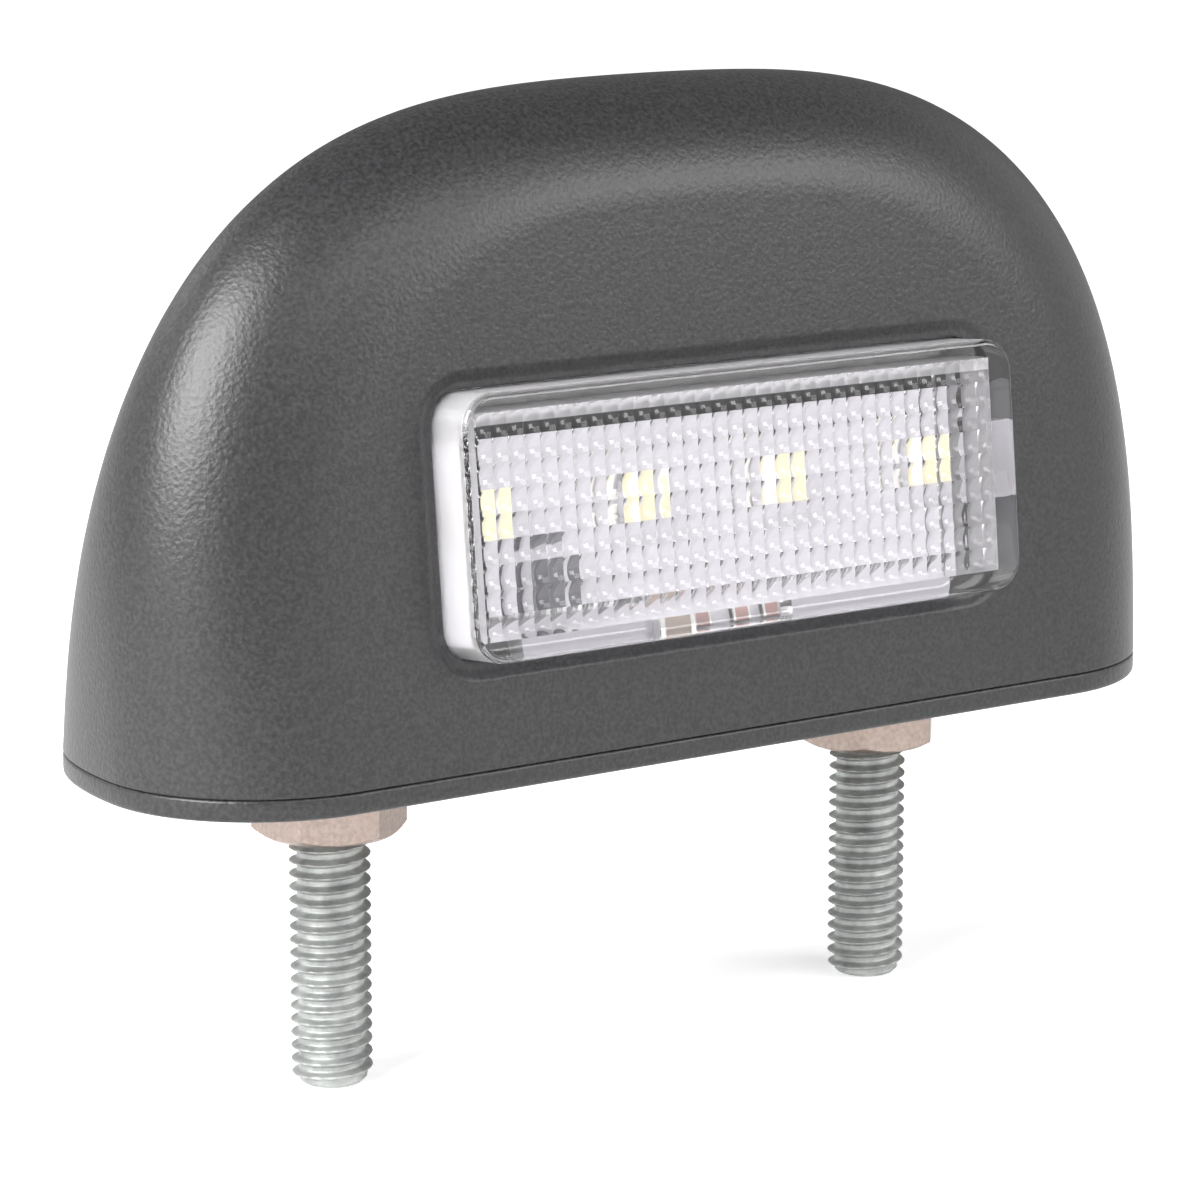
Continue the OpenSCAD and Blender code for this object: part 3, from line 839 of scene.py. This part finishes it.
def threadTree(material):
    # a grid rolled into a cylinder, with a helical thread and a chamfered tip
    tree, sockets, entry, leave = newShapeTree(
        "rolledThread", Int=("Rows", "Around"),
        Float=("Length", "Pitch", "Major Radius", "Thread Depth", "Tip Chamfer", "Top Height", "Across"))

    def calc(operation, *values):
        return maths(tree, operation, *values)

    grid = addNode(tree, "GeometryNodeMeshGrid", None, Size_X=1.0, Size_Y=1.0,
                   Vertices_X=entry["Around"], Vertices_Y=entry["Rows"])
    position = addNode(tree, "GeometryNodeInputPosition").outputs[0]
    place = addNode(tree, "ShaderNodeSeparateXYZ", None, Vector=position).outputs
    turn, down = calc("ADD", place["X"], 0.5), calc("ADD", place["Y"], 0.5)
    depth = calc("MULTIPLY", down, entry["Length"])
    phase = calc("FRACT", calc("ADD", calc("DIVIDE", depth, entry["Pitch"]), turn))
    slopeShare = calc("ABSOLUTE", calc("MULTIPLY_ADD", phase, 2.0, -1.0))  # 0 in the root, 1 on the crest
    # a wide root and a crest left round by the rolling
    blend = smoothRange(tree, slopeShare, From_Min=stud["rootEnd"], From_Max=stud["crestStart"])
    radius = calc("SUBTRACT", entry["Major Radius"],
                  calc("MULTIPLY", entry["Thread Depth"], calc("SUBTRACT", 1.0, blend)))
    left = calc("SUBTRACT", entry["Length"], depth)
    cone = calc("ADD", calc("SUBTRACT", entry["Major Radius"], entry["Tip Chamfer"]), left)
    radius = calc("MINIMUM", radius, cone)
    rowStep = calc("DIVIDE", 0.5, entry["Rows"])
    inside = calc("MULTIPLY", calc("GREATER_THAN", down, rowStep),
                  calc("LESS_THAN", down, calc("SUBTRACT", 1.0, rowStep)))
    radius = calc("MULTIPLY", radius, inside)  # the end rows close to poles
    angle = calc("MULTIPLY", turn, 2 * math.pi)
    x = calc("ADD", calc("MULTIPLY", radius, calc("COSINE", angle)), entry["Across"])
    y = calc("MULTIPLY", radius, calc("SINE", angle))
    z = calc("SUBTRACT", entry["Top Height"], depth)
    spot = addNode(tree, "ShaderNodeCombineXYZ", None, X=x, Y=y, Z=z)
    rolled = addNode(tree, "GeometryNodeSetPosition", None, Geometry=grid.outputs["Mesh"], Position=spot.outputs[0])
    closed = addNode(tree, "GeometryNodeMergeByDistance", None, Geometry=rolled.outputs[0],
                     Distance=stud["poleWeld"] * mm)
    plain = addNode(tree, "GeometryNodeRealizeInstances", None, Geometry=closed.outputs[0])
    coated = addNode(tree, "GeometryNodeSetMaterial", None, Geometry=plain.outputs[0], Material=material)
    tree.links.new(coated.outputs[0], leave.inputs[0])
    return tree, sockets


rolledThread, threadSockets = threadTree(zincSteel)
studTip = base["headSeat"] - stud["length"]


def makeStud(side):
    x, seat = side * base["studSpan"] / 2, base["headSeat"]
    top = -nut["height"] + stud["threadStart"]  # the thread starts inside the nut
    length = top - studTip
    obj = newObject("thread", bpy.data.meshes.new("thread"))
    runShapeTree(obj, rolledThread, threadSockets, {
        "Length": length * mm, "Pitch": stud["pitch"] * mm, "Major Radius": stud["major"] / 2 * mm,
        "Thread Depth": stud["depth"] * mm, "Tip Chamfer": stud["tipChamfer"] * mm, "Top Height": top * mm,
        "Across": x * mm, "Rows": int(length / stud["pitch"] * stud["rowsPerPitch"]),
        "Around": stud["around"] + 1})
    parts = []
    bm = bmesh.new()
    bm.from_mesh(obj.data)
    bmesh.ops.remove_doubles(bm, verts=bm.verts, dist=stud["weld"] * mm)
    addPart(parts, bm, zincSteel)
    bpy.data.objects.remove(obj)
    # shank through the plate and the hexagon head held in it
    shank = circle(x, 0, stud["shank"] / 2, stud["around"])
    head = circle(x, 0, hexCorner(stud["headFlats"]), 6)
    for outline, low, high, bevel in ((shank, top - stud["shankOverlap"], seat + stud["shankRise"], 0),
                                      (head, seat, seat + stud["headHeight"], stud["headBevel"])):
        bm = bmesh.new()
        rings = [[bm.verts.new(Vector((px, py, z)) * mm) for px, py in outline] for z in (low, high)]
        bm.faces.new(rings[0][::-1])
        bm.faces.new(rings[1])
        bridge(bm, rings[0], rings[1])
        addPart(parts, bm, zincSteel, bevel)
    return joinParts("fixingStud", parts, stud["creaseAngle"])


def makeNut(side):
    # a hexagon cut by a chamfer cone at each end, sampled round and along
    x, h, entry = side * base["studSpan"] / 2, nut["height"], nut["boreChamfer"]
    bore, rim = stud["major"] / 2 - nut["boreInset"], nut["flats"] * nut["rimShare"]
    bm = bmesh.new()
    rows, steps = [], nut["angles"]
    slope = math.tan(math.radians(nut["chamferAngle"]))
    levels = [-h + z for z in nut["levels"]] + [-z for z in reversed(nut["levels"])]
    turn = math.radians(nut["turn"][side])
    for i in range(6 * len(steps)):
        part = math.radians(steps[i % len(steps)])  # from the nearest corner
        a = i // len(steps) * math.pi / 3 + part
        hexR = nut["flats"] / 2 / math.cos(math.pi / 6 - abs(part))
        spots = [(bore, -h + entry), (bore + entry, -h)]
        spots += [(min(hexR, rim + min(z + h, -z) / slope), z) for z in levels] + [(bore, 0)]
        cx, cy = math.cos(a + turn), math.sin(a + turn)
        rows.append([bm.verts.new(Vector((x + r * cx, r * cy, z + nut["top"])) * mm) for r, z in spots])
    for row, following in zip(rows, rows[1:] + rows[:1]):
        bridge(bm, row, following)
    return bmeshObject("hexNut", bm, nut["creaseAngle"], warmSteel)


for side, name in ((-1, "left"), (1, "right")):
    finishPiece(makeStud(side), "stud_" + name)
    finishPiece(makeNut(side), "nut_" + name)
print("studs and nuts made")

# pieces that keep the CAD mesh
kept = {"regulator": epoxyBlack, "board_screw_left": zincSteel, "board_screw_right": zincSteel}
for node, material in kept.items():
    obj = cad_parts[node]
    obj.data.materials.clear()
    obj.data.materials.append(material)

# each dark side has its azimuth, elevation and share of light taken away; each light its
# azimuth, elevation, distance, width, height and power, aimed at a point above the seat
studio = {
    "floorColour": "#e6e6e6", "floorReach": 1500.0, "floorGap": 0.05, "floorLift": 0.5,
    "fadeStart": 120.0, "fadeEnd": 420.0, "farLift": 0.8,
    "roomGlow": 0.3, "ceilingShade": 0.17, "wallTop": 0.3, "ceilingStart": 0.85,
    "darkSides": ((-34.0, 8.0, 0.8), (140.0, 12.0, 0.7)), "darkEdge": 0.78, "darkCore": 0.98,
    "lightAim": 15.0, "lights": {
        "sideLeft": (-78, 32, 480, 290, 300, 4.8), "backLeft": (-150, 34, 560, 200, 200, 0.3),
        "frontTop": (4, 40, 560, 380, 200, 0.78), "frontRight": (38, 22, 560, 300, 200, 1.2),
    },
}


def seenDirectly(tree):
    # 1 where the camera, a reflection or a look through the lens meets the surface
    path = addNode(tree, "ShaderNodeLightPath").outputs
    seen = maths(tree, "MAXIMUM", path["Is Camera Ray"], path["Is Glossy Ray"])
    return maths(tree, "MAXIMUM", seen, path["Is Transmission Ray"])


def stageMaterial():
    # pale card that takes the lamp's shadow; partly self-lit where seen, so that it reads white
    material, tree, shader = newMaterial("paleCard", Base_Color=linearColour(studio["floorColour"]),
                                         Roughness=1.0, Specular_IOR_Level=0.0)
    place = addNode(tree, "ShaderNodeTexCoord").outputs["Object"]
    away = addNode(tree, "ShaderNodeVectorMath", {"operation": "LENGTH"}, in0=place).outputs["Value"]
    lift = smoothRange(tree, away, From_Min=studio["fadeStart"] * mm, From_Max=studio["fadeEnd"] * mm,
                       To_Min=studio["floorLift"], To_Max=studio["farLift"])
    level = maths(tree, "MULTIPLY", seenDirectly(tree), lift)
    glow = addNode(tree, "ShaderNodeEmission", None, Color=(1, 1, 1, 1), Strength=level)
    both = addNode(tree, "ShaderNodeAddShader", None, in0=shader.outputs[0], in1=glow.outputs[0])
    tree.links.new(both.outputs[0], tree.nodes["Material Output"].inputs["Surface"])
    return material


floorZ = studTip - studio["floorGap"]
floorCorners = [(x * studio["floorReach"], y * studio["floorReach"], floorZ)
                for x, y in ((-1, -1), (1, -1), (1, 1), (-1, 1))]
floor = meshFrom("floor", floorCorners, [(0, 1, 2, 3)], stageMaterial())


def towards(azimuth, elevation):
    # azimuth 0 stands before the lens, negative to the left
    a, e = math.radians(azimuth), math.radians(elevation)
    return Vector((math.sin(a) * math.cos(e), -math.cos(a) * math.cos(e), math.sin(e)))


def makeRoom():
    # white walls, a darker ceiling and two dark sides where seen or reflected; a plain glow
    # lights the lamp
    world = bpy.data.worlds.new("studioRoom")
    bpy.context.scene.world = world
    world.use_nodes = True
    room = world.node_tree
    back = room.nodes["Background"]
    back.inputs["Color"].default_value = (1, 1, 1, 1)
    direction = addNode(room, "ShaderNodeTexCoord").outputs["Generated"]
    height = addNode(room, "ShaderNodeSeparateXYZ", None, Vector=direction).outputs["Z"]
    shaded = smoothRange(room, height, From_Min=studio["wallTop"], From_Max=studio["ceilingStart"],
                         To_Min=1.0, To_Max=studio["ceilingShade"])
    for azimuth, elevation, share in studio["darkSides"]:
        near = addNode(room, "ShaderNodeVectorMath", {"operation": "DOT_PRODUCT"}, in0=direction,
                       in1=tuple(towards(azimuth, elevation))).outputs["Value"]
        dark = smoothRange(room, near, From_Min=studio["darkEdge"], From_Max=studio["darkCore"],
                           To_Min=1.0, To_Max=1.0 - share)
        shaded = maths(room, "MULTIPLY", shaded, dark)
    level = addNode(room, "ShaderNodeMix", {"data_type": "FLOAT"}, Factor=seenDirectly(room),
                    A=studio["roomGlow"], B=shaded)
    room.links.new(level.outputs[0], back.inputs["Strength"])


makeRoom()


def softbox(name, azimuth, elevation, distance, width, height, power):
    light = bpy.data.lights.new(name, "AREA")
    light.shape = "RECTANGLE"
    light.size, light.size_y, light.energy = width * mm, height * mm, power
    obj = newObject(name, light)
    toLight = towards(azimuth, elevation)
    obj.location = (toLight * distance + Vector((0, 0, studio["lightAim"]))) * mm
    obj.rotation_mode = "QUATERNION"
    obj.rotation_quaternion = toLight.to_track_quat("Z", "Y")


for name, values in studio["lights"].items():
    softbox(name, *values)

# camera solved from the photo: focal length and picture width in pixels, angles in radians,
# and the lamp's origin as the camera sees it, right, down and ahead
view = {
    "focal": 4561.94, "imageWidth": 1200, "sensorWidth": 36, "yaw": 0.6173, "pitch": 0.2011,
    "offset": (0.7124, 8.4162, 344.738), "clipStart": 0.01, "clipEnd": 20,
}
cy, sy = math.cos(view["yaw"]), math.sin(view["yaw"])
cp, sp = math.cos(view["pitch"]), math.sin(view["pitch"])
forward = Vector((sy * cp, cy * cp, -sp))
rightward = Vector((cy, -sy, 0))
downward = forward.cross(rightward)
offset = Vector(view["offset"])
camera = newObject("camera", bpy.data.cameras.new("camera"))
camera.data.lens = view["focal"] / view["imageWidth"] * view["sensorWidth"]
camera.data.sensor_width = view["sensorWidth"]
camera.data.sensor_fit = "HORIZONTAL"
camera.data.clip_start, camera.data.clip_end = view["clipStart"], view["clipEnd"]
turn = Matrix((rightward, -downward, -forward)).transposed()
camera.location = -(rightward * offset[0] + downward * offset[1] + forward * offset[2]) * mm
camera.rotation_mode = "QUATERNION"
camera.rotation_quaternion = turn.to_quaternion()
bpy.context.scene.camera = camera
bpy.context.scene.view_settings.view_transform = "Standard"
print("stage, light and camera set")
